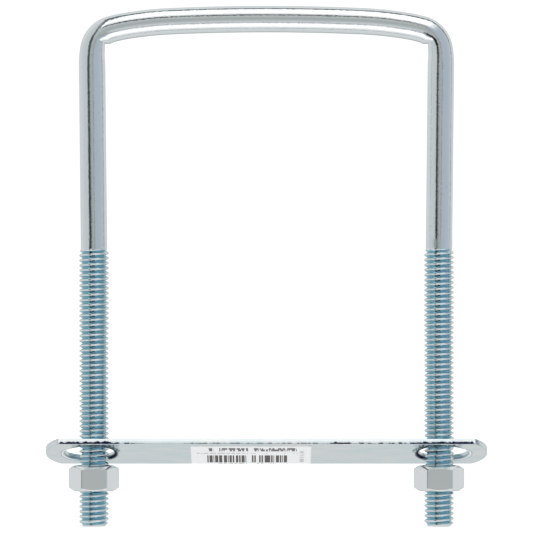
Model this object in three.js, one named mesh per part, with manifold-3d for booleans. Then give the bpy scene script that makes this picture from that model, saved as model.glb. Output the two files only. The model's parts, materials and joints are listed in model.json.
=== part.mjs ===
// Square U-bolt: a bent rod with threaded legs, a slotted plate across the legs, and a hex nut on each leg.
//
// Millimetres, +Z up. The legs stand along Z and the crossbar lies along X, so the U is in the XZ plane.
// The origin is midway between the two leg ends.

import * as THREE from "three";
import { mergeVertices } from "three/addons/utils/BufferGeometryUtils.js";
import Module from "manifold-3d";

const wasm = await Module();
wasm.setup();

// ---- driving dimensions ----

// rod: 3/8 inch, 16 threads to the inch, the thread rolled on a slightly thinner shank
const SHANK_RADIUS = 8.35 / 2;
const THREAD_RADIUS = 9.4 / 2; // over the crests
const THREAD_LENGTH = 87.5;
const THREAD_RUN_OUT = 1.3;
const TIP_CHAMFER = 1.1;
const SHANK_OVERLAP = 2; // how far the shank runs on inside each threaded end
const LEG_X = 54.6; // from the middle of the U to the axis of each threaded end
const LEG_LEAN = 0.6; // degrees by which each leg leans out between its thread and the bend
const CROWN_Z = 160.4; // the rod's axis at the middle of the crossbar

// The rod's axis from the middle of the crossbar to a leg is a run of arcs. The crossbar is bowed up a little,
// and its radius is worked out from LEG_X. turn is in degrees.
const CROSSBAR = { turn: 2.5, steps: 6 };
const BEND = [
  { radius: 117, turn: 7.2, steps: 4 },
  { radius: 45, turn: 5.9, steps: 3 },
  { radius: 7.6, turn: 64.4, steps: 10 },
  { radius: 29, turn: 10.6, steps: 4 },
];

// plate: 5 1/2 by 3/4 inch strip, its slots off its middle line by less than a millimetre
const PLATE = { length: 139.7, width: 19.05, thickness: 1.9, endRadius: 12.7, z: 23.6 };
const PLATE_TILT = 22.2; // degrees by which it hangs down at the back
const SLOT = { spacing: 111.9, length: 15.9, width: 12, offset: 0.2 };

const NUT = { acrossFlats: 14, height: 7.9, faceRadius: 6.45, boreRadius: 4.9, countersink: 0.5, z: 11.2 };
const NUT_CHAMFER = 30; // degrees
const NUT_TURNS = { left: 3, right: -1 }; // degrees from a flat facing the front

// label: on the side of the plate that faces the nuts. inset is from the plate's front edge.
const LABEL = { length: 38.1, width: 17.6, thickness: 0.2, gap: 0.3, x: -4.9, inset: 0.9 };

const ROD_SIDES = 20;
const ROUND_SIDES = 24;

// ---- materials ----

const rodZinc = new THREE.MeshStandardMaterial({ color: 0xb4bfc1, metalness: 1, roughness: 0.3 });
const plateZinc = new THREE.MeshStandardMaterial({ color: 0xc6cdd0, metalness: 1, roughness: 0.4 });
const nutZinc = new THREE.MeshStandardMaterial({ color: 0xb4babb, metalness: 1, roughness: 0.35 });
const paper = new THREE.MeshStandardMaterial({ color: 0xe9e9ea, metalness: 0, roughness: 0.8 });

// ---- solids and booleans ----

const radians = THREE.MathUtils.degToRad;

function solid(geometry) {
  const bare = geometry.clone();
  bare.deleteAttribute("normal");
  bare.deleteAttribute("uv");
  const merged = mergeVertices(bare);
  const vertProperties = new Float32Array(merged.getAttribute("position").array);
  const triVerts = new Uint32Array(merged.index.array);
  return new wasm.Manifold(new wasm.Mesh({ numProp: 3, vertProperties, triVerts }));
}

function geometryOf(manifold) {
  const mesh = manifold.getMesh();
  const geometry = new THREE.BufferGeometry();
  geometry.setAttribute("position", new THREE.BufferAttribute(new Float32Array(mesh.vertProperties), 3));
  geometry.setIndex(new THREE.BufferAttribute(new Uint32Array(mesh.triVerts), 1));
  return geometry;
}

// A LatheGeometry turns its profile about Y, so it is stood up along Z. Profile points are [radius, z].
function lathe(profile) {
  const points = profile.map(([radius, z]) => new THREE.Vector2(radius, z));
  return new THREE.LatheGeometry(points, ROUND_SIDES).rotateX(Math.PI / 2);
}

function named(name, geometry, material) {
  const mesh = new THREE.Mesh(geometry, material);
  mesh.name = name;
  return mesh;
}

// ---- rod ----

// The part of the axis along which the shank is swept: half of it is the crossbar's arc, the bend's arcs and
// a straight run down the leg, and the other half is its mirror image. Each piece of it takes its own number
// of steps, so that the bends are fine and the straight runs are plain.
class ShankAxis extends THREE.Curve {
  constructor(endX, endZ) {
    super();
    const lean = radians(LEG_LEAN);
    let slope = radians(CROSSBAR.turn);
    const bend = new THREE.Vector2();
    for (const { radius, turn } of BEND) {
      bend.add(this.arcStep(radius, slope, slope + radians(turn)));
      slope += radians(turn);
    }
    const flat = this.arcStep(1, 0, radians(CROSSBAR.turn));
    const reach = endX + (CROWN_Z + bend.y - endZ) * Math.tan(lean) - bend.x;
    const radius = reach / (flat.x - flat.y * Math.tan(lean));

    this.pieces = [];
    this.steps = 0;
    const at = new THREE.Vector2(0, CROWN_Z);
    slope = 0;
    for (const arc of [{ radius, ...CROSSBAR }, ...BEND]) {
      const piece = { ...arc, from: slope, to: slope + radians(arc.turn), start: at.clone() };
      at.add(this.arcStep(piece.radius, piece.from, piece.to));
      slope = piece.to;
      this.steps += arc.steps;
      this.pieces.push(piece);
    }
    this.pieces.push({ start: at, end: new THREE.Vector2(endX, endZ), steps: 1 });
    this.steps += 1;
  }

  // the way from one slope to another along an arc that starts level and turns down
  arcStep(radius, from, to) {
    return new THREE.Vector2(Math.sin(to) - Math.sin(from), Math.cos(to) - Math.cos(from)).multiplyScalar(radius);
  }

  halfPoint(part) {
    let station = part * this.steps;
    let piece;
    for (piece of this.pieces) {
      if (station <= piece.steps) break;
      station -= piece.steps;
    }
    const share = Math.min(station / piece.steps, 1);
    if (piece.end) return piece.start.clone().lerp(piece.end, share);
    const slope = THREE.MathUtils.lerp(piece.from, piece.to, share);
    return this.arcStep(piece.radius, piece.from, slope).add(piece.start);
  }

  getPoint(t, target = new THREE.Vector3()) {
    const { x, y } = this.halfPoint(Math.abs(2 * t - 1));
    return target.set(t < 0.5 ? -x : x, 0, y);
  }

  // stations are spaced by step, not by length
  getUtoTmapping(u) {
    return u;
  }
}

function makeRod() {
  const axis = new ShankAxis(LEG_X, THREAD_LENGTH - SHANK_OVERLAP);
  const section = new THREE.Shape().absarc(0, 0, SHANK_RADIUS, 0, 2 * Math.PI);
  const sweep = { extrudePath: axis, steps: 2 * axis.steps, curveSegments: ROD_SIDES / 2 };
  const threadedEnd = lathe([
    [0, 0],
    [THREAD_RADIUS - TIP_CHAMFER, 0],
    [THREAD_RADIUS, TIP_CHAMFER],
    [THREAD_RADIUS, THREAD_LENGTH - THREAD_RUN_OUT],
    [SHANK_RADIUS - 0.1, THREAD_LENGTH],
    [0, THREAD_LENGTH],
  ]);
  let rod = solid(new THREE.ExtrudeGeometry(section, sweep));
  for (const x of [-LEG_X, LEG_X]) {
    rod = rod.add(solid(threadedEnd.clone().translate(x, 0, 0)));
  }
  return geometryOf(rod);
}

// ---- plate and label, drawn flat: length along X, width along Y, thickness centred on Z ----

function obround(length, width, x, y) {
  const radius = width / 2;
  const reach = length / 2 - radius;
  const hole = new THREE.Path();
  hole.absarc(x + reach, y, radius, -Math.PI / 2, Math.PI / 2);
  hole.absarc(x - reach, y, radius, Math.PI / 2, (3 * Math.PI) / 2);
  hole.closePath();
  return hole;
}

function makePlate() {
  const halfWidth = PLATE.width / 2;
  const centre = PLATE.length / 2 - PLATE.endRadius;
  const angle = Math.asin(halfWidth / PLATE.endRadius);
  const outline = new THREE.Shape();
  outline.absarc(centre, 0, PLATE.endRadius, -angle, angle);
  outline.absarc(-centre, 0, PLATE.endRadius, Math.PI - angle, Math.PI + angle);
  outline.closePath();
  for (const x of [-SLOT.spacing / 2, SLOT.spacing / 2]) {
    outline.holes.push(obround(SLOT.length, SLOT.width, x, -SLOT.offset));
  }
  const depth = PLATE.thickness;
  const plate = new THREE.ExtrudeGeometry(outline, { depth, bevelEnabled: false, curveSegments: 5 });
  return plate.translate(0, 0, -depth / 2);
}

function makeLabel() {
  const { length, width, thickness, gap, x, inset } = LABEL;
  const y = inset + width / 2 - PLATE.width / 2;
  const z = -PLATE.thickness / 2 - gap - thickness / 2;
  return new THREE.BoxGeometry(length, width, thickness).translate(x, y, z);
}

// ---- nuts ----

function makeNut() {
  const { acrossFlats, height, faceRadius, boreRadius, countersink } = NUT;
  const cornerRadius = acrossFlats / Math.sqrt(3);
  const outerRadius = cornerRadius + 0.5;
  const chamferHeight = (outerRadius - faceRadius) * Math.tan(radians(NUT_CHAMFER));
  const hexagon = new THREE.CylinderGeometry(cornerRadius, cornerRadius, height, 6);
  hexagon.rotateX(Math.PI / 2).rotateZ(Math.PI / 6).translate(0, 0, height / 2);
  const chamfers = lathe([
    [0, 0],
    [faceRadius, 0],
    [outerRadius, chamferHeight],
    [outerRadius, height - chamferHeight],
    [faceRadius, height],
    [0, height],
  ]);
  const bore = lathe([
    [0, -1],
    [boreRadius + countersink + 1, -1],
    [boreRadius, countersink],
    [boreRadius, height - countersink],
    [boreRadius + countersink + 1, height + 1],
    [0, height + 1],
  ]);
  return geometryOf(solid(hexagon).intersect(solid(chamfers)).subtract(solid(bore)));
}

// ---- assembly ----

const group = new THREE.Group();
group.add(named("u_rod", makeRod(), rodZinc));

const saddle = new THREE.Group();
saddle.position.z = PLATE.z;
saddle.rotation.x = -radians(PLATE_TILT);
saddle.add(named("clamp_plate", makePlate(), plateZinc));
saddle.add(named("label", makeLabel(), paper));
group.add(saddle);

const nut = makeNut();
for (const [side, x] of [["left", -LEG_X], ["right", LEG_X]]) {
  const mesh = named(`nut_${side}`, nut, nutZinc);
  mesh.position.set(x, 0, NUT.z);
  mesh.rotation.z = radians(NUT_TURNS[side]);
  group.add(mesh);
}

export default group;
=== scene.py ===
"""The looks of a square U-bolt: a bent rod with threaded legs, a slotted plate across the legs, two hex
nuts and a paper label.

Shapes are worked out in millimetres, in the frame's own axes, and stored in metres: +X runs along the
crossbar, +Z up the legs, and the front of the U faces -Y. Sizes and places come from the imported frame.
"""

import json
import math

import bmesh
import bpy
import numpy as np
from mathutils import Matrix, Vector, noise


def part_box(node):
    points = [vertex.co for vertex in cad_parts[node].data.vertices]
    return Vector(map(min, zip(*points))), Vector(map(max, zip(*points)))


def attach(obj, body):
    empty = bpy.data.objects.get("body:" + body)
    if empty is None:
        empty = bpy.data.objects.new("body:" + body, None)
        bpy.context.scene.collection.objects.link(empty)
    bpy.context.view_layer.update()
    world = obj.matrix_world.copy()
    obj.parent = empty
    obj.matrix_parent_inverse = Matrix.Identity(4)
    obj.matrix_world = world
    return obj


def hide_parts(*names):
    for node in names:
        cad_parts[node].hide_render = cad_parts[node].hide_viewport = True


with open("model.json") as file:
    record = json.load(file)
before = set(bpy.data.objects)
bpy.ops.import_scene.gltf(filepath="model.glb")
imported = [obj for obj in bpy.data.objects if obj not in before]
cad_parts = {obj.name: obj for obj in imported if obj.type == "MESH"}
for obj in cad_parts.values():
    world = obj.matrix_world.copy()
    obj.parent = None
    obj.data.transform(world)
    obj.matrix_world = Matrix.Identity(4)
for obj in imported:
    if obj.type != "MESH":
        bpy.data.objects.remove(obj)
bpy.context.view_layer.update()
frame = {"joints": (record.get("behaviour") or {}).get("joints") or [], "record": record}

MM = 0.001

# ---- what the frame says, in millimetres ----


def node_box(node):
    low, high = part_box(node)
    return np.array(low) / MM, np.array(high) / MM


def joint(name):
    return next(j for j in frame["joints"] if j["name"] == name)


def mount(name):
    return next(m for m in frame["record"]["mounts"] if m["name"] == name)


rod_low, rod_high = node_box("u_rod")
nut_low, nut_high = node_box("nut_left")
label_low, label_high = node_box("label")
plate_low, plate_high = node_box("clamp_plate")

LEG_X = joint("nut_right_turn")["pos_m"][0] / MM
CREST_RADIUS = (rod_high[1] - rod_low[1]) / 2
TIP_Z = rod_low[2]

# ---- rod ----

SHANK_RADIUS = 8.35 / 2
CROWN_Z = rod_high[2] - SHANK_RADIUS
LEG_LEAN = math.radians(0.6)
LEG_STEPS = 20
CROSSBAR_TURN = math.radians(2.5)
CROSSBAR_STEPS = 8
BEND = [(117, 7.2, 6), (45, 5.9, 5), (7.6, 64.4, 34), (29, 10.6, 9)]  # radius, turn in degrees, steps
COLUMNS = 56

# The inside of the bend is pressed to a corner: a level line and an upright one, measured from the centre
# of the tight arc, cut into the round section there.
TIGHT_ARC = 2
CORNER_UNDER = 2.72
CORNER_SIDE = 3.84
CORNER_BULGE = 0.03

# ---- thread: 3/8-16 UNC, right-handed ----

PITCH = 1.5875
CREST_ROUND = 0.30
ROOT_ROUND = 0.10
FLANK = math.radians(60)  # how far the flank's normal leans from the radius
THREAD_TOP = 88.0
CREST_FADE = (86.3, 87.8)  # heights over which the crests sink into the shank
ROOT_FADE = (86.7, THREAD_TOP)
TIP_RADIUS = 3.45
TIP_SLOPE = 1.15  # of the chamfer: radius gained for each millimetre of height
TIP_DISH = [(0, 0), (0.12, 0), (0.5, 0.02), (2.25, 0.10)]  # rings of the leg's flat end: inset and height
CREST_HEIGHT = {"left": 84.75, "right": 84.97}  # of one crest on the +X side of the leg

# ---- nuts ----

NUT_HEIGHT = nut_high[2] - nut_low[2]
NUT_Z = nut_low[2]
APOTHEM = 7.0
FACE_RADIUS = 6.45
CHAMFER = math.radians(31)
CORNER_ROUND = 0.45
SINK_RADIUS = 5.35
SINK_SLOPE = 1.1  # of the countersink: radius lost for each millimetre of depth
SINK_EDGE = 0.06  # how far inside each face the countersink's rounded edge ends
BORE_RADIUS = 3.98
FLAT_COLUMNS = [-28, -24, -16, 0, 16, 24, 28]  # degrees from the middle of a flat
THREAD_PLAY = 0.12
NUT_TURN = {"left": math.radians(3), "right": math.radians(-1)}

# ---- plate ----

PLATE_LENGTH = plate_high[0] - plate_low[0]
PLATE_WIDTH = 19.05
PLATE_THICKNESS = 1.9
END_RADIUS = 12.7
SLOT_SPACING = 111.9
SLOT_LENGTH = 15.9
SLOT_WIDTH = 12.0
SLOT_OFFSET = -0.2
PULL_ANGLE = 60  # degrees towards the front, of the side of each slot that the punch drew down
SPLIT_ANGLE = 4  # the same, of the torn part of its edge
DARK_SHOULDER_X = 57.6  # beyond this the edge's rounded shoulders are painted dark, as shade, with the torn band's colour
TORN_ENDS = (46.5, 49.5)  # distances from the middle over which the front edge turns wholly torn
PLATE_ORIGIN = np.array(mount("plate_clamp_face")["pos_m"]) / MM
PLATE_NORMAL = np.array(mount("plate_clamp_face")["axis"])
PLATE_ACROSS = np.array([0.0, PLATE_NORMAL[2], -PLATE_NORMAL[1]])

# ---- label ----

LABEL_GAP = 0.01
LABEL_THICKNESS = 0.05
LABEL_TOP = -7.9  # how far across the plate its front edge is
LABEL_BOTTOM = 9.78  # and its back edge
LABEL_GRID = (77, 31)  # points along and across


# ---- meshes ----


def tube_faces(rows, columns, first=0, rise=0):
    """Quads of a closed tube of rows. The seam joins the last column to the first one, rise rows on."""
    row, column = np.meshgrid(np.arange(rows - 1), np.arange(columns), indexing="ij")
    right = (column + 1) % columns
    lift = np.where(column == columns - 1, rise, 0)
    corners = [row * columns + column, (row + lift) * columns + right]
    corners += [(row + 1 + lift) * columns + right, (row + 1) * columns + column]
    inside = row + 1 + lift < rows
    return (first + np.stack(corners, -1)[inside]).tolist()


def fan_faces(ring, centre):
    return [(ring[k], ring[(k + 1) % len(ring)], centre) for k in range(len(ring))]


class Shape:
    """Points in millimetres with their attributes, and faces with a material number each."""

    def __init__(self):
        self.points = []
        self.values = {}
        self.faces = []
        self.flat = []

    def add_points(self, points, **values):
        first = len(self.points)
        self.points.extend(np.reshape(points, (-1, 3)).tolist())
        for name, value in values.items():
            column = self.values.setdefault(name, [])
            column.extend([0.0] * (first - len(column)))
            column.extend(np.ravel(value).tolist())
        return first

    def add_faces(self, faces, flat=False):
        self.faces.extend(faces)
        self.flat.extend([flat] * len(faces))

    def to_object(self, name, material, weld=0.0):
        mesh = bpy.data.meshes.new(name)
        mesh.from_pydata((np.array(self.points) * MM).tolist(), [], self.faces)
        mesh.polygons.foreach_set("use_smooth", [not flat for flat in self.flat])
        for key, column in self.values.items():
            column.extend([0.0] * (len(self.points) - len(column)))
            attribute = mesh.attributes.new(key, "FLOAT", "POINT")
            attribute.data.foreach_set("value", column)
        build = bmesh.new()
        build.from_mesh(mesh)
        if weld:
            bmesh.ops.remove_doubles(build, verts=build.verts, dist=weld * MM)
            bmesh.ops.dissolve_degenerate(build, edges=build.edges, dist=weld * MM / 4)
        bmesh.ops.recalc_face_normals(build, faces=build.faces)
        build.to_mesh(mesh)
        build.free()
        mesh.materials.append(material)
        piece = bpy.data.objects.new(name, mesh)
        bpy.context.scene.collection.objects.link(piece)
        return piece


def rows_of(points):
    """A rows x columns x 3 array from x, y and z arrays of rows x columns."""
    return np.stack(np.broadcast_arrays(*points), -1)


def settle(piece, node, body):
    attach(piece, body)
    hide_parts(node)


# ---- thread ----


def thread_profile():
    """One pitch, from crest to crest, as (share of the pitch, depth below the crest)."""
    half = [(CREST_ROUND * math.sin(a), CREST_ROUND * (1 - math.cos(a))) for a in np.linspace(0, FLANK, 4)]
    root_edge = PITCH / 2 - ROOT_ROUND * math.sin(FLANK)
    edge_depth = half[-1][1] + (root_edge - half[-1][0]) * math.tan(FLANK)
    for a in np.linspace(FLANK, 0, 3):
        sink = ROOT_ROUND * (math.cos(a) - math.cos(FLANK))
        half.append((PITCH / 2 - ROOT_ROUND * math.sin(a), edge_depth + sink))
    full = half + [(PITCH - along, depth) for along, depth in half[-2:0:-1]]
    return [(along / PITCH, depth) for along, depth in full]


PROFILE = thread_profile()
THREAD_DEPTH = max(depth for _, depth in PROFILE)


def thread_grid(angles, crest, low, high):
    """Heights and depths of a thread's rows from low to high, on columns at angles. Each row climbs a pitch
    in a turn, and the seam's rise is one profile. Rows past the two ends are pressed onto them."""
    first = math.floor((low - crest) / PITCH) - 2
    last = math.ceil((high - crest) / PITCH) + 1
    shares = np.array([turn + share for turn in range(first, last) for share, _ in PROFILE])
    depths = np.array([depth for _ in range(first, last) for _, depth in PROFILE])
    heights = crest + PITCH * (shares[:, None] + np.array(angles)[None, :] / (2 * math.pi))
    return np.clip(heights, low, high), np.broadcast_to(depths[:, None], heights.shape)


def smooth_step(value, low, high):
    share = np.clip((value - low) / (high - low), 0, 1)
    return share * share * (3 - 2 * share)


def add_threaded_end(shape, x, crest):
    angles = np.arange(COLUMNS) * 2 * math.pi / COLUMNS
    heights, depths = thread_grid(angles, crest, TIP_Z, THREAD_TOP)
    radii = CREST_RADIUS - depths
    proud = np.maximum(radii - SHANK_RADIUS, 0) * (1 - smooth_step(heights, *CREST_FADE))
    sunk = np.maximum(SHANK_RADIUS - radii, 0) * (1 - smooth_step(heights, *ROOT_FADE))
    radii = SHANK_RADIUS + proud - sunk
    chamfer = TIP_RADIUS + TIP_SLOPE * (heights - TIP_Z)
    fade = (1 - smooth_step(heights, *ROOT_FADE)) * (1 - smooth_step(radii - chamfer, -0.05, 0.1))
    radii = np.minimum(radii, chamfer)
    points = rows_of((x + radii * np.cos(angles), radii * np.sin(angles), heights))
    first = shape.add_points(
        points,
        groove=depths / THREAD_DEPTH * fade,
        along=heights,
        across_a=radii * np.cos(angles),
        across_b=radii * np.sin(angles),
    )
    shape.add_faces(tube_faces(len(heights), COLUMNS, first, len(PROFILE)))
    add_leg_tip(shape, x, angles)


def add_leg_tip(shape, x, angles):
    """The flat end of a leg, a little dished."""
    inner = []
    for inset, height in TIP_DISH:
        radius = TIP_RADIUS - inset
        inner.append(rows_of((x + radius * np.cos(angles), radius * np.sin(angles), TIP_Z + height)))
    first = shape.add_points(np.array(inner))
    shape.add_faces(tube_faces(len(inner), COLUMNS, first))
    centre = shape.add_points([x, 0, TIP_Z + TIP_DISH[-1][1]])
    ring = first + (len(inner) - 1) * COLUMNS + np.arange(COLUMNS)
    shape.add_faces(fan_faces(ring.tolist(), centre))


# ---- rod ----


def arc_step(radius, start, end):
    """The way from one slope to another along an arc that starts level and turns down."""
    return radius * np.array([math.sin(end) - math.sin(start), math.cos(end) - math.cos(start)])


def crossbar_radius():
    """The crossbar is bowed up a little, just enough for the leaning leg to meet its thread."""
    slope = CROSSBAR_TURN
    bend = np.zeros(2)
    for radius, turn, _ in BEND:
        bend += arc_step(radius, slope, slope + math.radians(turn))
        slope += math.radians(turn)
    flat = arc_step(1, 0, CROSSBAR_TURN)
    reach = LEG_X + (CROWN_Z + bend[1] - THREAD_TOP) * math.tan(LEG_LEAN) - bend[0]
    return reach / (flat[0] - flat[1] * math.tan(LEG_LEAN))


def inner_depth(radius, slope):
    """How far the inner side of the rod is from its axis, where the tight arc presses it to a corner."""
    under = CORNER_UNDER / math.cos(slope)
    side = CORNER_SIDE / math.sin(slope)
    return min(SHANK_RADIUS, radius - min(under, side))


def half_axis():
    """Stations of the rod's axis from the crossbar's middle to the right leg's thread, as rows of x, z,
    slope, and the depth of the rod's inner side."""
    at = np.array([0.0, CROWN_Z])
    slope = 0.0
    depth = SHANK_RADIUS
    stations = [(*at, slope, depth)]
    arcs = [(crossbar_radius(), math.degrees(CROSSBAR_TURN), CROSSBAR_STEPS), *BEND]
    for number, (radius, turn, steps) in enumerate(arcs):
        start, before = slope, depth
        for step in range(1, steps + 1):
            share = step / steps
            slope = start + math.radians(turn) * share
            if number == TIGHT_ARC + 1:
                depth = inner_depth(radius, slope)
            elif number > TIGHT_ARC + 1:
                depth = before + (SHANK_RADIUS - before) * smooth_step(share, 0, 1)
            stations.append((*(at + arc_step(radius, start, slope)), slope, depth))
        at = at + arc_step(radius, start, slope)
    end = np.array([LEG_X, THREAD_TOP])
    for step in range(1, LEG_STEPS + 1):
        level = slope if step < LEG_STEPS else math.pi / 2
        stations.append((*(at + (end - at) * step / LEG_STEPS), level, SHANK_RADIUS))
    return np.array(stations)


def add_shank(shape):
    half = half_axis()
    mirrored = half[:0:-1] * [-1, 1, 1, 1]
    stations = np.vstack([mirrored, half])
    side = np.sign(stations[:, 0] + 1e-9)[:, None]
    x, z, slope, inner = (column[:, None] for column in stations.T)
    steps = np.hypot(np.diff(x, axis=0), np.diff(z, axis=0))
    along = np.vstack([[[0.0]], np.cumsum(steps, axis=0)]) + THREAD_TOP
    angles = np.arange(COLUMNS) * 2 * math.pi / COLUMNS
    outward = np.where(np.cos(angles) > 0, SHANK_RADIUS, inner) * np.cos(angles)
    width = SHANK_RADIUS + CORNER_BULGE * (SHANK_RADIUS - inner) / (SHANK_RADIUS - CORNER_UNDER)
    out_x, out_z = side * np.sin(slope) * outward, np.cos(slope) * outward
    points = rows_of((x + out_x, -width * np.sin(angles), z + out_z))
    first = shape.add_points(
        points,
        groove=np.zeros(points.shape[:2]),
        along=np.broadcast_to(along, points.shape[:2]),
        across_a=np.broadcast_to(-SHANK_RADIUS * np.cos(angles), points.shape[:2]),
        across_b=np.broadcast_to(-SHANK_RADIUS * np.sin(angles), points.shape[:2]),
    )
    shape.add_faces(tube_faces(len(stations), COLUMNS, first))


def make_rod(material):
    shape = Shape()
    add_shank(shape)
    add_threaded_end(shape, -LEG_X, CREST_HEIGHT["left"])
    add_threaded_end(shape, LEG_X, CREST_HEIGHT["right"])
    rod = shape.to_object("bent_rod", material, weld=0.002)
    settle(rod, "u_rod", "rod")
    return rod


# ---- nuts ----


def hexagon_columns():
    """Angles about a nut's axis, from the middle of one flat round, close together at the corners."""
    edge = math.atan((APOTHEM - CORNER_ROUND) * math.tan(math.pi / 6) / APOTHEM)
    flat = [-edge, *(math.radians(a) for a in FLAT_COLUMNS), edge]
    corner = [edge + (math.pi / 3 - 2 * edge) * k / 4 for k in (1, 2, 3)]
    return np.array([a + k * math.pi / 3 for k in range(6) for a in flat + corner])


def hexagon_radius(angles):
    """Distance from the axis to the outside of a hexagon with rounded corners."""
    from_flat = np.abs((angles + math.pi / 6) % (math.pi / 3) - math.pi / 6)
    from_corner = math.pi / 6 - from_flat
    centre = (APOTHEM - CORNER_ROUND) / math.cos(math.pi / 6)
    reach = np.maximum(CORNER_ROUND**2 - (centre * np.sin(from_corner)) ** 2, 0)
    rounded = centre * np.cos(from_corner) + np.sqrt(reach)
    flat = APOTHEM / np.cos(from_flat)
    return np.where(reach > 0, np.minimum(rounded, flat), flat)


def nut_side_rows(hexagon):
    """Radius and height rows up the outside of a nut from its lower face to its middle. Rows lie close
    together on both sides of each edge, so that the edge is round and the faces stay flat."""
    chamfer = (hexagon - FACE_RADIUS) * math.tan(CHAMFER)
    zero = np.zeros_like(hexagon)
    rows = [(zero + SINK_RADIUS + 0.25, zero)]
    rows.append((zero + FACE_RADIUS - 0.15, zero))
    rows.append((zero + FACE_RADIUS + 0.03, zero + 0.035))
    for share in (0.33, 0.66):
        rows.append((FACE_RADIUS + (hexagon - FACE_RADIUS) * share, chamfer * share + 0.02))
    rows.append((hexagon - 0.13, chamfer - 0.03))
    rows.append((hexagon - 0.035, chamfer + 0.055))
    rows.append((hexagon, chamfer + 0.19))
    rows.append((hexagon, chamfer + 0.34))
    rows.append((hexagon, zero + NUT_HEIGHT / 2))
    return rows


def make_nut(side, x, material):
    """The outside, the threaded bore inside its countersinks, and the rounded edge between them."""
    columns = hexagon_columns()
    angles = columns + NUT_TURN[side] - math.pi / 2
    lower = nut_side_rows(hexagon_radius(columns))
    upper = [(radius, NUT_HEIGHT - height) for radius, height in lower[-2::-1]]
    radii = np.array([radius for radius, _ in lower + upper])
    heights = NUT_Z + np.array([height for _, height in lower + upper])
    shape = Shape()
    count = len(angles)

    def points(radii, heights):
        return rows_of((x + radii * np.cos(angles), radii * np.sin(angles), heights))

    low, high = NUT_Z + SINK_EDGE, NUT_Z + NUT_HEIGHT - SINK_EDGE
    inner_heights, depths = thread_grid(angles, CREST_HEIGHT[side], low, high)
    bore = np.maximum(CREST_RADIUS - depths + THREAD_PLAY, BORE_RADIUS)
    cone = SINK_RADIUS - np.minimum(inner_heights - low, high - inner_heights) * SINK_SLOPE
    inner_radii = np.maximum(bore, cone)
    first = shape.add_points(points(radii, heights), groove=np.zeros(radii.shape))
    shape.add_faces(tube_faces(len(radii), count, first))
    first = shape.add_points(points(inner_radii, inner_heights), groove=np.ones(inner_radii.shape))
    shape.add_faces(tube_faces(len(inner_heights), count, first, len(PROFILE)))
    for face, inward in ((NUT_Z, 1), (NUT_Z + NUT_HEIGHT, -1)):
        rings = [(0, SINK_EDGE), (0.06, 0.015), (0.25, 0)]
        ring = np.array([np.full(count, SINK_RADIUS + out) for out, _ in rings])
        level = np.array([np.full(count, face + inward * depth) for _, depth in rings])
        first = shape.add_points(points(ring, level), groove=np.zeros(ring.shape))
        shape.add_faces(tube_faces(len(rings), count, first))
    nut = shape.to_object(f"hex_nut_{side}", material, weld=0.002)
    settle(nut, f"nut_{side}", f"{side}_nut")
    return nut


# ---- plate ----


def on_plate(x, across, height):
    """A point given in the plate's own axes: along it, across it from its middle line to the back, and up
    from its clamping face."""
    return (
        np.array([1.0, 0, 0]) * np.asarray(x)[..., None]
        + PLATE_ACROSS * np.asarray(across)[..., None]
        + PLATE_NORMAL * np.asarray(height)[..., None]
        + PLATE_ORIGIN
    )


def wave(*at, size=1.0):
    """Smooth noise from -1 to 1, with features of that size."""
    return noise.noise(Vector(at) / size)


class Edge:
    """A closed line round the plate's outside or a slot: its points and its normals out of the metal."""

    def __init__(self):
        self.points = []
        self.normals = []

    def line(self, start, end, spacing):
        start, end = np.array(start, float), np.array(end, float)
        way = end - start
        length = np.linalg.norm(way)
        normal = np.array([way[1], -way[0]]) / length
        steps = max(2, round(length / spacing))
        for step in range(1, steps):
            self.points.append(start + way * step / steps)
            self.normals.append(normal)

    def arc(self, centre, radius, start, end, steps, outward=1, mitre=0.0):
        """mitre turns the first and last normals towards the lines that the arc meets at a corner."""
        for step in range(steps + 1):
            angle = start + (end - start) * step / steps
            out = np.array([math.cos(angle), math.sin(angle)])
            lean = {0: -mitre, steps: mitre}.get(step, 0.0)
            turned = np.array([math.cos(angle + lean), math.sin(angle + lean)]) / math.cos(lean)
            self.points.append(np.array(centre) + radius * out)
            self.normals.append(outward * turned)
            if mitre and step in (0, steps - 1):
                near_corner = 0.25 if step == 0 else steps - 0.25
                self.on_arc(centre, radius, start + (end - start) * near_corner / steps)

    def on_arc(self, centre, radius, angle):
        """A point just inside a corner, which keeps the corner's normal from spreading along the arc."""
        out = np.array([math.cos(angle), math.sin(angle)])
        self.points.append(np.array(centre) + radius * out)
        self.normals.append(out)

    def arrays(self):
        return np.array(self.points), np.array(self.normals)


def outside_edge():
    edge = Edge()
    half = PLATE_WIDTH / 2
    centre = PLATE_LENGTH / 2 - END_RADIUS
    angle = math.asin(half / END_RADIUS)
    corner = centre + END_RADIUS * math.cos(angle)
    mitre = (math.pi / 2 - angle) / 2
    edge.arc((centre, 0), END_RADIUS, -angle, angle, 26, mitre=mitre)
    edge.line((corner, half), (-corner, half), 0.9)
    edge.arc((-centre, 0), END_RADIUS, math.pi - angle, math.pi + angle, 26, mitre=mitre)
    edge.line((-corner, -half), (corner, -half), 0.32)
    return edge.arrays()


def slot_edge(x):
    edge = Edge()
    radius = SLOT_WIDTH / 2
    reach = SLOT_LENGTH / 2 - radius
    low, high = SLOT_OFFSET - radius, SLOT_OFFSET + radius
    edge.arc((x + reach, SLOT_OFFSET), radius, math.pi / 2, -math.pi / 2, 32, outward=-1)
    edge.line((x + reach, low), (x - reach, low), 0.8)
    edge.arc((x - reach, SLOT_OFFSET), radius, -math.pi / 2, -3 * math.pi / 2, 32, outward=-1)
    edge.line((x - reach, high), (x + reach, high), 0.8)
    return edge.arrays()


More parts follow.
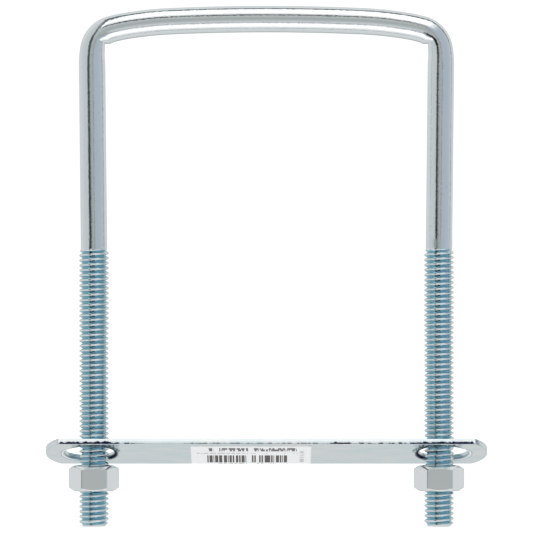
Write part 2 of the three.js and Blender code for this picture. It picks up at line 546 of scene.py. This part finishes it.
def torn_share(points):
    """How much of the sheared edge is torn there. The front edge is torn near its ends, where the shears
    closed, and only in places along its middle."""
    x, across = points.T
    ends = smooth_step(np.abs(x), *TORN_ENDS)
    nick = 0.7 * smooth_step(x, 19, 21) * (1 - smooth_step(x, 25, 28))
    middle = 0.35 * smooth_step(x, -27, -23) * (1 - smooth_step(x, 16, 19))
    right = 0.45 * smooth_step(x, 27, 30) + 0.10 * smooth_step(x, 38, 42)
    left = 0.55 * smooth_step(-x, 38, 42)
    thin = middle + right + left
    patch = np.array([wave(at, 5.0, 0.0, size=1.6) + 0.5 * wave(at, 9.0, 0.0, size=0.6) for at in x])
    thin = thin * smooth_step(patch, -0.3, 0.15)
    front = np.maximum.reduce([ends, nick, thin])
    corner = PLATE_LENGTH / 2 - END_RADIUS * (1 - math.cos(math.asin(PLATE_WIDTH / 2 / END_RADIUS)))
    straight = smooth_step(corner - 0.4 - np.abs(x), 0, 0.5)
    back = 0.45 + 0.25 * np.sin(x / 9.0)
    return np.where(across < 0, front, back) * straight * (np.abs(across) > PLATE_WIDTH / 2 - 0.01)


def outside_rings(points):
    """Rings down the plate's outside edge, each an inset, a height and how torn it is, which also sets how
    much painted shade darkens it: a rounded shoulder, a burnished band, a torn band that is ragged and set
    back and painted nearly black as shade, and a thin rounded lip. Near the plate's ends the shoulders are
    painted dark too."""
    torn = torn_share(points)
    rag = np.array([wave(x, y, 0.0, size=0.9) + 0.7 * wave(x, y, 7.0, size=0.45) for x, y in points])
    fray = np.array([wave(x, y, 11.0, size=0.8) + 0.7 * wave(x, y, 17.0, size=0.4) for x, y in points])
    pit = np.array([wave(x, y, 3.0, size=0.7) for x, y in points])
    low = -PLATE_THICKNESS
    zero = np.zeros(len(points))
    bottom = low + 0.15 + 0.07 * fray * torn
    top = bottom + 0.12 + (0.50 + 0.38 * rag) * torn
    # painted shade: the share of the torn band's near-black colour
    torn_shade = smooth_step(torn, 0.04, 0.5)
    # painted shade: dark shoulders near the plate's ends
    dark_shoulder = 0.45 * smooth_step(np.abs(points[:, 0]) - DARK_SHOULDER_X, 0, 0.8)
    rings = [(zero + 0.16, zero, zero)]
    rings.append((zero + 0.04, zero - 0.04, dark_shoulder))
    rings.append((zero, zero - 0.17, zero))
    rings.append((zero, top + 0.11, zero))
    rings.append((zero, top + 0.04, zero))
    rings.append((0.10 * torn, top - 0.02, torn_shade))
    rings.append((torn * (0.20 + 0.07 * pit), (top + bottom) / 2, torn_shade))
    rings.append((torn * (0.12 + 0.05 * rag), bottom + 0.02, torn_shade))
    rings.append((0.01 + 0.02 * torn, bottom - 0.02, zero))
    rings.append((zero + 0.03, zero + low + 0.04, dark_shoulder))
    rings.append((zero + 0.09, zero + low + 0.01, zero))
    rings.append((zero + 0.16, zero + low, zero))
    rings.append((zero + 0.26, zero + low, zero))
    return [(*ring, zero) for ring in rings]


def slot_rings(points, normals, x):
    """Rings down a slot's wall and out onto the lower face, each an inset, a height, how torn it is and how
    much painted reflection it carries. The punch drew the face down at the slot's inner front corner, where
    dark teal streaks are painted as a reflection of the threads, and left a torn edge round its inner end
    that is painted nearly black as shade."""
    to_middle = -math.copysign(1.0, x)

    def facing(degrees):
        lean = math.radians(degrees)
        return -normals @ np.array([to_middle * math.cos(lean), -math.sin(lean)])

    drawn = smooth_step(facing(PULL_ANGLE), 0.45, 0.90)
    split = smooth_step(facing(SPLIT_ANGLE), 0.35, 0.70)
    low = -PLATE_THICKNESS
    zero = np.zeros(len(points))
    rings = [(zero + 0.20, zero, zero, zero)]
    rings.append((zero + 0.05, zero - 0.05, zero, zero))
    rings.append((zero, zero - 0.2, zero, zero))
    rings.append((zero, zero - 0.7, zero, zero))
    # the third number is the share of painted shade: the torn lower part of the wall and its inner end are
    # painted dark
    rings.append((zero, low + 0.42 + 0.25 * drawn, 0.3 + 0.7 * split, zero))
    lip = [(0.03, 0.24), (0.10, 0.11), (0.21, 0.04), (0.36, 0.0)]
    for inset, rise in lip:
        wide = inset * (drawn + 1.5 * split)
        high = drawn * (0.14 - 0.10 * inset / lip[-1][0])
        torn_shade = split if rise else split * 0.6
        rings.append((inset + wide, low + rise + high, torn_shade, drawn))
    narrow = 1.2
    # the last number of each ring is its share of the painted reflection by the slot's inner front corner
    for inset, rise, bruise in ((1.5, 0.03, 1.0), (2.4, 0.0, 1.0), (3.2, 0.0, 0.0)):
        rings.append((narrow + drawn * (inset - narrow), low + rise * drawn, zero, drawn * bruise))
    return rings


def make_plate(material):
    """The strip's two flat sides, between rings down its outside edge and down the walls of its slots."""
    shape = Shape()
    points, normals = outside_edge()
    loops = [(points, normals, outside_rings(points))]
    for x in (-SLOT_SPACING / 2, SLOT_SPACING / 2):
        points, normals = slot_edge(x)
        loops.append((points, normals, slot_rings(points, normals, x)))
    ends = ([], [])
    for points, normals, rings in loops:
        count = len(points)
        first = len(shape.points)
        # each ring's torn share also sets its painted shade, and the last value is its share of painted
        # reflection
        for inset, height, torn, bruised in rings:
            at = points - normals * inset[:, None]
            place = on_plate(at[:, 0], at[:, 1], height)
            upper = smooth_step(height + 0.01, -0.3, 0)
            shape.add_points(place, torn=torn, bruised=bruised, upper=upper)
        rows = (len(shape.points) - first) // count
        shape.add_faces(tube_faces(rows, count, first))
        ends[0].append(list(range(first, first + count)))
        ends[1].append(list(range(first + (rows - 1) * count, first + rows * count)))
    plate = shape.to_object("slotted_plate", material)
    fill_faces(plate.data, ends)
    settle(plate, "clamp_plate", "plate")
    return plate


def fill_faces(mesh, ends):
    """Closes the plate's two flat sides, each between its outer ring and the rings of its slots."""
    build = bmesh.new()
    build.from_mesh(mesh)
    build.verts.ensure_lookup_table()
    for rings in ends:
        edges = []
        for ring in rings:
            corners = [build.verts[k] for k in ring]
            edges += [build.edges.get((a, b)) for a, b in zip(corners, corners[1:] + corners[:1])]
        made = bmesh.ops.triangle_fill(build, use_beauty=True, edges=edges)
        for face in made["geom"]:
            if isinstance(face, bmesh.types.BMFace):
                face.smooth = False
    bmesh.ops.recalc_face_normals(build, faces=build.faces)
    build.to_mesh(mesh)
    build.free()


# ---- label ----


def make_label(material):
    """A sheet of paper on the plate's lower face. It ripples, its back edge is just past the plate's and
    curls up, and its right end has come away."""
    columns, rows = LABEL_GRID
    left, right = label_low[0], label_high[0]
    u, v = np.meshgrid(np.linspace(0, 1, columns), np.linspace(0, 1, rows), indexing="xy")
    x = left + (right - left) * u
    across = LABEL_TOP + (LABEL_BOTTOM - LABEL_TOP) * v
    ripple = np.array([[wave(a, b, 0.0, size=5.0) for a, b in zip(*row)] for row in zip(x, across)])
    curl = 0.22 * smooth_step(across, 9.0, 9.9)
    lift = 0.10 * smooth_step(u, 0.975, 1.0)
    face = -PLATE_THICKNESS - LABEL_GAP - 0.012 * (1 + ripple) - lift + curl
    shape = Shape()
    shape.add_points(on_plate(x, across, face - LABEL_THICKNESS), u=u, v=v)
    shape.add_points(on_plate(x, across, face), u=u, v=v)
    count = rows * columns
    rim = [*range(columns), *range(2 * columns - 1, count, columns)]
    rim += [*range(count - 2, count - columns - 1, -1), *range(count - 2 * columns, 0, -columns)]
    quads = []
    for row in range(rows - 1):
        for column in range(columns - 1):
            k = row * columns + column
            quads.append((k, k + 1, k + columns + 1, k + columns))
    shape.add_faces(quads)
    shape.add_faces([tuple(count + k for k in reversed(quad)) for quad in quads])
    shape.add_faces([(b, a, count + a, count + b) for a, b in zip(rim, rim[1:] + rim[:1])], flat=True)
    label = shape.to_object("paper_label", material)
    settle(label, "label", "plate")
    return label


# ---- materials ----


class Graph:
    """Short forms for making a node tree."""

    def __init__(self, owner):
        owner.use_nodes = True
        self.tree = owner.node_tree
        self.tree.nodes.clear()

    def feed(self, socket, value):
        if isinstance(value, bpy.types.NodeSocket):
            self.tree.links.new(value, socket)
        else:
            socket.default_value = value

    def node(self, kind, inputs=(), **settings):
        made = self.tree.nodes.new(kind)
        for key, value in settings.items():
            setattr(made, key, value)
        for key, value in dict(inputs).items():
            self.feed(made.inputs[key], value)
        return made

    def math(self, operation, *values):
        made = self.tree.nodes.new("ShaderNodeMath")
        made.operation = operation
        for socket, value in zip(made.inputs, values):
            self.feed(socket, value)
        return made.outputs[0]

    def step(self, value, low, high):
        inputs = {"Value": value, "From Min": low, "From Max": high}
        return self.node("ShaderNodeMapRange", inputs, interpolation_type="SMOOTHSTEP").outputs[0]

    def inside(self, value, low, high, soft=0.004):
        """1 where the value is between low and high."""
        rise = self.step(value, low - soft, low + soft)
        fall = self.step(value, high - soft, high + soft)
        return self.math("SUBTRACT", rise, fall)

    def product(self, first, *others):
        for value in others:
            first = self.math("MULTIPLY", first, value)
        return first

    def mix(self, share, first, second):
        made = self.node("ShaderNodeMix", data_type="RGBA")
        for socket, value in zip((made.inputs[0], made.inputs[6], made.inputs[7]), (share, first, second)):
            self.feed(socket, value)
        return made.outputs[2]

    def blend(self, share, first, second):
        """The same for plain numbers."""
        made = self.node("ShaderNodeMix", data_type="FLOAT")
        for socket, value in zip(made.inputs[:1] + made.inputs[2:4], (share, first, second)):
            self.feed(socket, value)
        return made.outputs[0]

    def attribute(self, name):
        return self.node("ShaderNodeAttribute", attribute_name=name).outputs["Fac"]

    def vector(self, x, y, z):
        return self.node("ShaderNodeCombineXYZ", {"X": x, "Y": y, "Z": z}).outputs[0]

    def millimetres(self):
        """The point in the frame's axes, in millimetres."""
        place = self.node("ShaderNodeTexCoord").outputs["Object"]
        scaled = self.node("ShaderNodeVectorMath", {0: place}, operation="SCALE")
        scaled.inputs["Scale"].default_value = 1 / MM
        return scaled.outputs[0]

    def stretch(self, vector, x, y, z):
        """The vector with its parts divided by x, y and z, so that noise gets features of those sizes."""
        inputs = {0: vector, 1: (1 / x, 1 / y, 1 / z)}
        return self.node("ShaderNodeVectorMath", inputs, operation="MULTIPLY").outputs[0]

    def noise(self, vector, detail=2.0):
        inputs = {"Vector": vector, "Scale": 1.0, "Detail": detail}
        return self.node("ShaderNodeTexNoise", inputs).outputs["Fac"]

    def bump(self, height, distance, strength=1.0, normal=None):
        inputs = {"Height": height, "Distance": distance * MM, "Strength": strength}
        if normal is not None:
            inputs["Normal"] = normal
        return self.node("ShaderNodeBump", inputs).outputs[0]

    def ramp(self, value, stops):
        made = self.node("ShaderNodeValToRGB", {"Fac": value})
        elements = made.color_ramp.elements
        while len(elements) < len(stops):
            elements.new(0.5)
        for element, (position, colour) in zip(elements, stops):
            element.position = position
            element.color = (*colour, 1)
        return made.outputs[0]

    def metal(self, colour, roughness, normal):
        shader = self.node("ShaderNodeBsdfPrincipled")
        shader.inputs["Metallic"].default_value = 1.0
        self.feed(shader.inputs["Base Color"], colour)
        self.feed(shader.inputs["Roughness"], roughness)
        self.feed(shader.inputs["Normal"], normal)
        output = self.node("ShaderNodeOutputMaterial")
        self.tree.links.new(shader.outputs[0], output.inputs[0])


def new_material(name):
    material = bpy.data.materials.new(name)
    return material, Graph(material)


# The plating's colour by the share of the thread's depth: pale on the crests, bluer down in the thread, and
# darker towards the root, which is painted shade.
DEEP_ZINC_AND_SHADE = [
    (0.06, (0.88, 0.88, 0.89)),
    (0.22, (0.48, 0.67, 0.72)),
    (0.80, (0.45, 0.66, 0.73)),
    (1.0, (0.40, 0.60, 0.68)),
]


def rod_zinc():
    """Drawn, zinc-plated steel: lines along the rod, a faint wander in its surface, small stains, and a
    bluer plating down in the thread, darkened towards the root by painted shade."""
    material, graph = new_material("drawn_zinc")
    along = graph.attribute("along")
    place = graph.vector(along, graph.attribute("across_a"), graph.attribute("across_b"))
    cloud = graph.noise(graph.stretch(place, 9, 3, 3))
    lines = graph.noise(graph.stretch(place, 14, 0.28, 0.28), 3.0)
    stains = graph.step(graph.noise(graph.stretch(place, 2.2, 1.1, 1.1), 4.0), 0.60, 0.72)
    depth = graph.attribute("groove")
    groove = graph.step(depth, 0.0, 0.25)
    plain = graph.mix(cloud, (0.80, 0.83, 0.84, 1), (0.86, 0.87, 0.865, 1))
    plain = graph.mix(graph.math("MULTIPLY", lines, 0.25), plain, (0.74, 0.79, 0.82, 1))
    plain = graph.mix(graph.math("MULTIPLY", stains, 0.22), plain, (0.62, 0.60, 0.56, 1))
    # painted shade: the thread's colour darkens from the crest towards the root
    deep = graph.ramp(depth, DEEP_ZINC_AND_SHADE)
    colour = graph.mix(groove, plain, deep)
    rough = graph.math("MULTIPLY_ADD", lines, 0.06, 0.05)
    rough = graph.blend(groove, rough, 0.05)
    wander = graph.noise(graph.stretch(place, 0.5, 0.42, 0.42), 2.0)
    still = graph.math("SUBTRACT", 1.0, groove)
    normal = graph.bump(wander, 0.027, still)
    normal = graph.bump(lines, 0.004, still, normal)
    graph.metal(colour, rough, normal)
    return material


def nut_zinc():
    """Cold-formed steel: satin flats with faint upright marks and clouding."""
    material, graph = new_material("formed_zinc")
    place = graph.millimetres()
    cloud = graph.noise(graph.stretch(place, 3.0, 3.0, 5.0), 3.0)
    marks = graph.noise(graph.stretch(place, 0.35, 0.35, 4.0), 3.0)
    dents = graph.noise(graph.stretch(place, 0.8, 0.8, 0.8), 4.0)
    groove = graph.attribute("groove")
    plain = graph.mix(cloud, (0.86, 0.88, 0.88, 1), (0.92, 0.92, 0.91, 1))
    plain = graph.mix(graph.math("MULTIPLY", marks, 0.2), plain, (0.78, 0.82, 0.85, 1))
    colour = graph.mix(groove, plain, (0.55, 0.70, 0.76, 1))
    rough = graph.math("MULTIPLY_ADD", cloud, 0.08, 0.09)
    normal = graph.bump(dents, 0.006, 0.6)
    normal = graph.bump(marks, 0.002, 0.6, normal)
    graph.metal(colour, rough, normal)
    return material


def plate_zinc():
    """Rolled strip: satin, with lines along it and a blue cast. Its upper face is duller. It has dark teal
    streaks by the slots, a painted reflection of the threads, and is nearly black where its edge is torn, a
    painted shade."""
    material, graph = new_material("rolled_zinc")
    place = graph.millimetres()
    cloud = graph.noise(graph.stretch(place, 12, 4, 4), 3.0)
    lines = graph.noise(graph.stretch(place, 11, 0.3, 0.3), 3.0)
    orange = graph.noise(graph.stretch(place, 0.7, 0.7, 0.7), 3.0)
    torn = graph.attribute("torn")
    plain = graph.mix(graph.step(cloud, 0.35, 0.65), (0.76, 0.85, 0.875, 1), (0.86, 0.88, 0.88, 1))
    plain = graph.mix(graph.math("MULTIPLY", lines, 0.2), plain, (0.70, 0.78, 0.82, 1))
    upper = graph.attribute("upper")
    plain = graph.mix(upper, plain, graph.mix(cloud, (0.58, 0.64, 0.66, 1), (0.68, 0.71, 0.72, 1)))
    # painted reflection: dark teal streaks by the slots stand for the threads mirrored in the face
    streaks = graph.noise(graph.stretch(place, 0.55, 0.8, 0.8), 3.0)
    bruise = graph.math("MULTIPLY", graph.attribute("bruised"), graph.step(streaks, 0.38, 0.50))
    plain = graph.mix(bruise, plain, (0.02, 0.11, 0.15, 1))
    # painted shade: the torn band, the slot walls' lower edge and the end shoulders are near-black
    colour = graph.mix(torn, plain, (0.015, 0.02, 0.075, 1))
    rough = graph.math("MULTIPLY_ADD", lines, 0.08, 0.13)
    rough = graph.math("MULTIPLY_ADD", upper, 0.12, rough)
    rough = graph.blend(torn, rough, 0.55)
    normal = graph.bump(orange, 0.012, 0.7)
    normal = graph.bump(lines, 0.003, 0.6, normal)
    graph.metal(colour, rough, normal)
    return material


def dashes(graph, u, v, box, count, filled, seed):
    """A row of short strokes in the box (left, right, top, bottom): a stand-in for a line of print. There
    are count places for a stroke from one end of the label to the other, and a share of them is filled."""
    left, right, top, bottom = box
    cell = graph.math("FLOOR", graph.math("MULTIPLY", u, count))
    inputs = {"W": graph.math("ADD", cell, seed)}
    pick = graph.node("ShaderNodeTexWhiteNoise", inputs, noise_dimensions="1D").outputs["Value"]
    shown = graph.math("LESS_THAN", pick, filled)
    area = graph.product(graph.inside(u, left, right), graph.inside(v, top, bottom, 0.01))
    return graph.product(shown, area)


def label_paper():
    """White paper with a generic row of bars and dashes printed on it, glowing faintly as painted light."""
    material, graph = new_material("printed_paper")
    u, v = graph.attribute("u"), graph.attribute("v")
    bars = dashes(graph, u, v, (0.135, 0.80, 0.50, 0.895), 150, 0.55, 3.0)
    words = dashes(graph, u, v, (0.14, 0.88, 0.0, 1.0), 21, 0.72, 15.0)
    heading = dashes(graph, u, v, (0.15, 0.88, 0.10, 0.20), 105, 0.60, 11.0)
    heading = graph.math("MAXIMUM", heading, dashes(graph, u, v, (0.15, 0.88, 0.17, 0.28), 117, 0.62, 41.0))
    heading = graph.math("MULTIPLY", heading, words)
    small = dashes(graph, u, v, (0.05, 0.42, 0.355, 0.42), 95, 0.6, 23.0)
    small = graph.math("MAXIMUM", small, dashes(graph, u, v, (0.42, 0.9, 0.37, 0.42), 80, 0.25, 29.0))
    foot = dashes(graph, u, v, (0.22, 0.74, 0.92, 0.98), 88, 0.5, 31.0)
    mark = dashes(graph, v, u, (0.22, 0.88, 0.905, 0.94), 22, 0.6, 5.0)
    print_share = graph.math("MULTIPLY", bars, 0.95)
    for part, strength in ((heading, 0.85), (small, 0.35), (foot, 0.6), (mark, 0.38)):
        print_share = graph.math("MAXIMUM", print_share, graph.math("MULTIPLY", part, strength))
    place = graph.millimetres()
    fibre = graph.noise(graph.stretch(place, 0.25, 0.25, 0.25), 4.0)
    paper = graph.mix(fibre, (0.86, 0.86, 0.86, 1), (0.93, 0.925, 0.92, 1))
    colour = graph.mix(print_share, paper, (0.06, 0.045, 0.04, 1))
    shader = graph.node("ShaderNodeBsdfPrincipled", {"Base Color": colour})
    shader.inputs["Roughness"].default_value = 0.55
    shader.inputs["Specular IOR Level"].default_value = 0.35
    # painted light: the paper glows faintly, which brightens the white and the print alike
    shader.inputs["Emission Strength"].default_value = 0.20
    graph.feed(shader.inputs["Emission Color"], colour)
    graph.feed(shader.inputs["Normal"], graph.bump(fibre, 0.004, 0.5))
    output = graph.node("ShaderNodeOutputMaterial")
    graph.tree.links.new(shader.outputs[0], output.inputs[0])
    return material


# ---- studio ----

# The light tent round the object. Light by the angle in degrees from the front, going round to the right:
AROUND = [
    (-180, (0.44, 0.47, 0.475)),
    (-169, (0.44, 0.47, 0.475)),
    (-160, (0.68, 0.70, 0.71)),
    (-120, (0.72, 0.74, 0.76)),
    (-60, (0.61, 0.65, 0.66)),
    (-22.5, (0.61, 0.65, 0.66)),
    (-22, (0.45, 0.485, 0.48)),
    (8, (0.45, 0.485, 0.48)),
    (8.5, (0.25, 0.20, 0.16)),
    (12, (0.25, 0.20, 0.16)),
    (12.5, (0.45, 0.52, 0.58)),
    (50, (0.46, 0.53, 0.61)),
    (82, (0.49, 0.56, 0.62)),
    (90, (0.60, 0.66, 0.69)),
    (115, (0.66, 0.70, 0.71)),
    (122, (0.72, 0.74, 0.75)),
    (160, (0.68, 0.70, 0.71)),
    (169, (0.44, 0.47, 0.475)),
    (180, (0.44, 0.47, 0.475)),
]
# and by the angle from the front, going up:
OVER = [
    (-180, (0.66, 0.68, 0.69)),
    (-139, (0.70, 0.72, 0.72)),
    (-110, (0.74, 0.77, 0.78)),
    (-95, (0.83, 0.84, 0.85)),
    (-75, (0.92, 0.93, 0.94)),
    (-68, (1.25, 1.25, 1.25)),
    (-41, (1.25, 1.25, 1.25)),
    (-38, (0.95, 0.97, 0.99)),
    (-36.5, (0.42, 0.43, 0.45)),
    (-31, (0.42, 0.43, 0.45)),
    (-29.5, (0.74, 0.77, 0.79)),
    (-22, (0.66, 0.69, 0.71)),
    (-12, (0.52, 0.55, 0.56)),
    (-5, (0.46, 0.49, 0.49)),
    (2, (0.42, 0.455, 0.45)),
    (12, (0.47, 0.50, 0.50)),
    (20, (0.55, 0.58, 0.58)),
    (29, (0.60, 0.63, 0.63)),
    (30.5, (0.04, 0.045, 0.05)),
    (37.5, (0.05, 0.055, 0.06)),
    (39, (0.84, 0.84, 0.84)),
    (48, (0.95, 0.95, 0.95)),
    (53, (1.3, 1.3, 1.3)),
    (180, (1.3, 1.3, 1.3)),
]
MOUTH = (-22, 8.7)  # degrees from the front, between which the light goes by OVER
ROOF = (1.3, 1.3, 1.3)
HIGH_BACK = (0.75, 0.78, 0.78)
GAP_BEHIND_LOW = (0.20, 0.25, 0.30)
GAP_BEHIND = (0.08, 0.10, 0.12)
GAP_LEFT_LOW = (0.012, 0.02, 0.025)
GAP_LEFT = (0.08, 0.105, 0.105)
GAP_LEFT_HIGH = (0.20, 0.21, 0.23)
GAP_LEFT_SIDE = (0.899, -0.438)  # the level way across the left gap, from left to right
BRIGHTEST = 1.4  # a ramp holds no more than 1, so the tent's colours are divided by this

FLOOR_SIZE = 3.0
FLOOR_DROP = 0.00002
CAMERA_DISTANCE = 1.0
CAMERA_HEIGHT = 0.0821
FIELD_WIDTH = 0.1687  # of the view, in the plane of the U


def tent_colour(colour):
    return (*(c / BRIGHTEST for c in colour), 1)


def tent_ramp(graph, angle, stops):
    """The stops' colours by an angle in radians."""
    share = graph.math("MULTIPLY_ADD", angle, 1 / (2 * math.pi), 0.5)
    return graph.ramp(share, [((a + 180) / 360, tent_colour(colour)[:3]) for a, colour in stops])


def roof_share(graph, x, z, steep, aside, ahead, mouth):
    """The roof is steeply overhead. It ends at the left gap, at the gap behind and short of the right."""
    lean = graph.math("DIVIDE", x, graph.math("MAXIMUM", z, 0.001))
    return graph.product(
        graph.step(steep, 0.50, 1.10),
        graph.step(aside, 0.05, 0.08),
        graph.step(ahead, -0.01, 0.01),
        graph.math("SUBTRACT", 1.0, mouth),
        graph.step(lean, 0.95, 0.40),
    )


def gap_behind_share(graph, x, z, past, reach, aside):
    """The gap behind shows high up and on the right, and ends at the left gap."""
    across = graph.inside(graph.math("DIVIDE", past, reach), -1.0, 1.0, 0.12)
    above = graph.math("MAXIMUM", graph.step(z, 0.3, 0.4), graph.step(x, 0.5, 0.6))
    return graph.product(across, above, graph.step(aside, -0.16, -0.1))


def gap_left_share(graph, front, z, aside):
    """The left gap is narrower high up, and wider on both sides below the level of what it is seen from."""
    deep = graph.step(graph.math("MULTIPLY", z, -1.0), 0.09, 0.22)
    near = graph.math("MULTIPLY_ADD", graph.step(z, 0.25, 0.6), 0.13, -0.21)
    near = graph.math("MULTIPLY_ADD", deep, -0.12, near)
    below = graph.step(z, 0.004, -0.004)
    far = graph.math("MULTIPLY_ADD", below, 0.14, 0.12)
    return graph.product(
        graph.step(graph.math("SUBTRACT", aside, near), -0.01, 0.01),
        graph.step(graph.math("SUBTRACT", far, aside), -0.01, 0.01),
        graph.step(front, -0.1, -0.05),
        graph.step(z, -0.6, -0.4),
    )


def make_world():
    """A light tent, seen only in reflections and as light: what the camera sees past the object is white.
    Its roof is bright, its front wall is grey, and there are dark gaps between its panels: one upright to
    the left of the front, and one that goes over from the right between the front half and the back."""
    world = bpy.data.worlds.new("light_tent")
    bpy.context.scene.world = world
    graph = Graph(world)
    parts = graph.node("ShaderNodeSeparateXYZ", {0: graph.node("ShaderNodeTexCoord").outputs["Generated"]})
    x, y, z = parts.outputs
    front = graph.math("MULTIPLY", y, -1.0)
    azimuth = graph.math("ARCTAN2", x, front)
    mouth = graph.inside(graph.math("MULTIPLY", azimuth, 180 / math.pi), *MOUTH, 0.5)
    flat_reach = graph.math("MAXIMUM", graph.math("ABSOLUTE", x), graph.math("ABSOLUTE", y))
    steep = graph.math("DIVIDE", z, graph.math("MAXIMUM", flat_reach, 0.001))
    ground = graph.step(graph.math("MULTIPLY", steep, -1.0), 0.70, 0.78)
    over = tent_ramp(graph, graph.math("ARCTAN2", z, front), OVER)
    colour = graph.mix(graph.math("MAXIMUM", ground, mouth), tent_ramp(graph, azimuth, AROUND), over)

    # how far across the left gap, which leans to the left as it rises
    aside = graph.math("MULTIPLY_ADD", y, GAP_LEFT_SIDE[1], graph.math("MULTIPLY", x, GAP_LEFT_SIDE[0]))
    aside = graph.math("MULTIPLY_ADD", graph.math("MAXIMUM", z, 0.0), 0.30, aside)

    # how far past the middle of the gap behind, which is wider as it rises, and how far ahead of its edge
    rise = graph.step(z, 0.1, 0.5)
    reach = graph.math("MULTIPLY_ADD", rise, 0.06, 0.05)
    middle = graph.math("MULTIPLY_ADD", graph.math("MAXIMUM", x, 0.0), 0.06, 0.18)
    past = graph.math("SUBTRACT", y, middle)
    ahead = graph.math("SUBTRACT", graph.math("MULTIPLY", past, -1.0), reach)

    roof = roof_share(graph, x, z, steep, aside, ahead, mouth)
    colour = graph.mix(roof, colour, tent_colour(ROOF))
    high_back = graph.product(graph.step(z, 0.2, 0.5), graph.step(y, 0.05, 0.3))
    colour = graph.mix(high_back, colour, tent_colour(HIGH_BACK))
    dark = graph.mix(rise, tent_colour(GAP_BEHIND_LOW), tent_colour(GAP_BEHIND))
    colour = graph.mix(gap_behind_share(graph, x, z, past, reach, aside), colour, dark)
    dark = graph.mix(graph.step(z, 0.01, 0.03), tent_colour(GAP_LEFT_LOW), tent_colour(GAP_LEFT))
    dark = graph.mix(graph.step(z, 0.35, 0.65), dark, tent_colour(GAP_LEFT_HIGH))
    colour = graph.mix(gap_left_share(graph, front, z, aside), colour, dark)

    tent = graph.node("ShaderNodeBackground", {"Color": colour, "Strength": BRIGHTEST})
    backdrop = graph.node("ShaderNodeBackground", {"Color": (1, 1, 1, 1), "Strength": 1.05})
    seen = graph.node("ShaderNodeLightPath").outputs["Is Camera Ray"]
    mixed = graph.node("ShaderNodeMixShader", {0: seen, 1: tent.outputs[0], 2: backdrop.outputs[0]})
    output = graph.node("ShaderNodeOutputWorld")
    graph.tree.links.new(mixed.outputs[0], output.inputs[0])


def make_floor():
    """A pale floor, lit so brightly that it shows nothing but the deepest shadow. It isn't mirrored in the
    metal, which sees the tent's own floor."""
    mesh = bpy.data.meshes.new("floor")
    corners = [(-1, -1), (1, -1), (1, 1), (-1, 1)]
    points = [(x * FLOOR_SIZE, y * FLOOR_SIZE, -FLOOR_DROP) for x, y in corners]
    mesh.from_pydata(points, [], [(0, 1, 2, 3)])
    floor = bpy.data.objects.new("floor", mesh)
    bpy.context.scene.collection.objects.link(floor)
    material, graph = new_material("floor_white")
    matt = graph.node("ShaderNodeBsdfDiffuse", {"Color": (0.9, 0.9, 0.9, 1)})
    glow = graph.node("ShaderNodeEmission", {"Color": (1, 1, 1, 1), "Strength": 0.55})
    both = graph.node("ShaderNodeAddShader", {0: matt.outputs[0], 1: glow.outputs[0]})
    output = graph.node("ShaderNodeOutputMaterial")
    graph.tree.links.new(both.outputs[0], output.inputs[0])
    mesh.materials.append(material)
    floor.visible_glossy = False
    floor.visible_diffuse = False


def make_camera():
    """Level with the middle of the U and a metre in front of it."""
    data = bpy.data.cameras.new("camera")
    camera = bpy.data.objects.new("camera", data)
    bpy.context.scene.collection.objects.link(camera)
    data.sensor_width = 36
    data.lens = data.sensor_width * CAMERA_DISTANCE / FIELD_WIDTH
    camera.location = (0, -CAMERA_DISTANCE, CAMERA_HEIGHT)
    camera.rotation_euler = (math.pi / 2, 0, 0)
    bpy.context.scene.camera = camera
    bpy.context.scene.view_settings.view_transform = "Standard"


make_camera()
make_world()
make_floor()
make_rod(rod_zinc())
nut_metal = nut_zinc()
make_nut("left", -LEG_X, nut_metal)
make_nut("right", LEG_X, nut_metal)
make_plate(plate_zinc())
make_label(label_paper())
